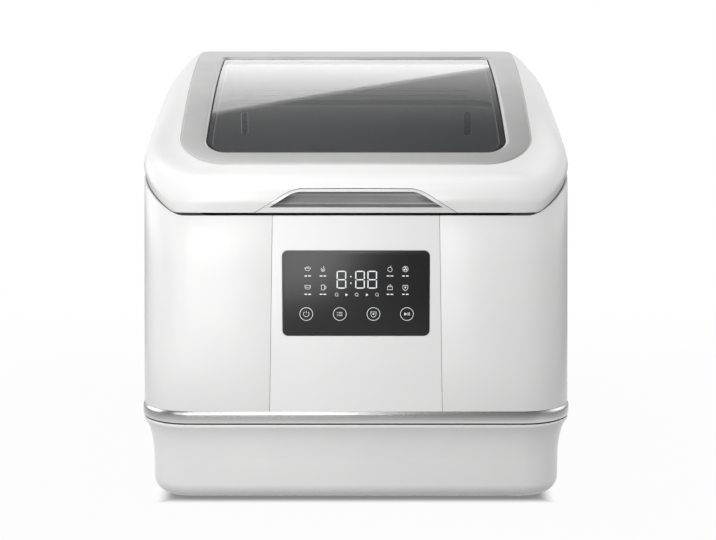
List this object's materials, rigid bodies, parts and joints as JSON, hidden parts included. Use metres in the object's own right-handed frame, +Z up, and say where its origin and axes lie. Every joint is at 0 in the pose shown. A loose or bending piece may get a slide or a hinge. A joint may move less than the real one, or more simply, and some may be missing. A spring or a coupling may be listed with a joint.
{
  "type": "countertop dishwasher",
  "caption": "Compact countertop dishwasher with an upward-opening glazed lid, front touch panel, spray arm, wire rack and rear water connections",
  "frame": {"origin": "centre of the footprint of the whole machine, on the plane its feet stand on", "axes": "+Z up, -Y towards the user (the display's side), +X to the user's right, +Y out of the back"},
  "size_m": [0.446, 0.43, 0.4473],
  "materials": {
    "white_plastic": "gloss white moulded plastic",
    "grey_plastic": "moulded grey plastic",
    "dark_plastic": "moulded black plastic",
    "light_plastic": "moulded light grey plastic",
    "tub_plastic": "moulded heat-resistant plastic",
    "silver_trim": "satin silver",
    "black_glass": "gloss black panel",
    "window": "lightly tinted glass",
    "steel": "brushed stainless steel",
    "rubber_part": "soft rubber",
    "board": "printed circuit board"
  },
  "bodies": {
    "casing": {"base_tray": "white_plastic", "tub_posts": "light_plastic", "rubber_feet": "rubber_part", "trim_band": "silver_trim", "left_side_panel": "white_plastic", "right_side_panel": "white_plastic", "front_panel": "white_plastic", "rear_cover": "white_plastic", "cover_screws": "steel", "display_glass": "black_glass", "display_board": "board", "top_deck": "light_plastic", "tub": "tub_plastic", "tub_gasket": "rubber_part", "sump": "dark_plastic", "coarse_filter": "steel", "pump_housing": "dark_plastic", "pump_bracket": "grey_plastic", "wash_duct": "grey_plastic", "spray_hub": "grey_plastic", "spray_cap": "grey_plastic", "heater_element": "steel", "drain_pump": "dark_plastic", "drain_hose": "rubber_part", "drain_spigot": "dark_plastic", "inlet_valve": "white_plastic", "inlet_hose": "rubber_part", "air_break": "light_plastic", "control_board": "board", "fan_housing": "dark_plastic", "exhaust_duct": "dark_plastic", "lead_gland": "rubber_part", "door_lock": "light_plastic", "hinge_brackets": "steel", "hinge_pins": "steel", "hinge_dampers": "dark_plastic"},
    "lid": {"lid_shell": "white_plastic", "lid_frame": "silver_trim", "glass_seal": "rubber_part", "lid_glass": "window", "lid_liner": "light_plastic", "handle_insert": "grey_plastic", "lock_tongue": "light_plastic", "hinge_arms": "steel"},
    "lock_bolt": {"lock_bolt": "steel"},
    "spray_arm": {"spray_arm": "light_plastic"},
    "rack": {"dish_rack": "steel", "rack_fence": "steel", "rack_legs": "steel", "plate_tines": "steel", "cutlery_basket": "light_plastic", "basket_sides": "light_plastic", "basket_ends": "light_plastic"},
    "filter": {"filter_cup": "grey_plastic"},
    "pump_rotor": {"pump_rotor": "light_plastic"},
    "fan_wheel": {"fan_wheel": "dark_plastic"}
  },
  "joints": [
    {"name": "lid_hinge", "type": "hinge", "parent": "casing", "child": "lid", "pos_m": [0, 0.177, 0.40997], "axis": [-1, 0, 0], "range_deg": [0, 75]},
    {"name": "lock_slide", "type": "slide", "parent": "casing", "child": "lock_bolt", "axis": [-1, 0, 0], "range_m": [0, 0.008], "stiffness_N_per_m": 200},
    {"name": "spray_arm_spin", "type": "hinge", "parent": "casing", "child": "spray_arm", "pos_m": [0, -0.013, 0.15], "axis": [0, 0, 1], "continuous": true},
    {"name": "filter_turn", "type": "hinge", "parent": "casing", "child": "filter", "pos_m": [0.075, 0.055, 0.13], "axis": [0, 0, 1], "range_deg": [0, 45]},
    {"name": "rack_lift", "type": "slide", "parent": "casing", "child": "rack", "axis": [0, 0, 1], "range_m": [0, 0.06]},
    {"name": "pump_spin", "type": "hinge", "parent": "casing", "child": "pump_rotor", "pos_m": [0, 0.055, 0.0745], "axis": [1, 0, 0], "continuous": true},
    {"name": "fan_spin", "type": "hinge", "parent": "casing", "child": "fan_wheel", "pos_m": [0.134, 0.17, 0.304], "axis": [0, 1, 0], "continuous": true}
  ]
}
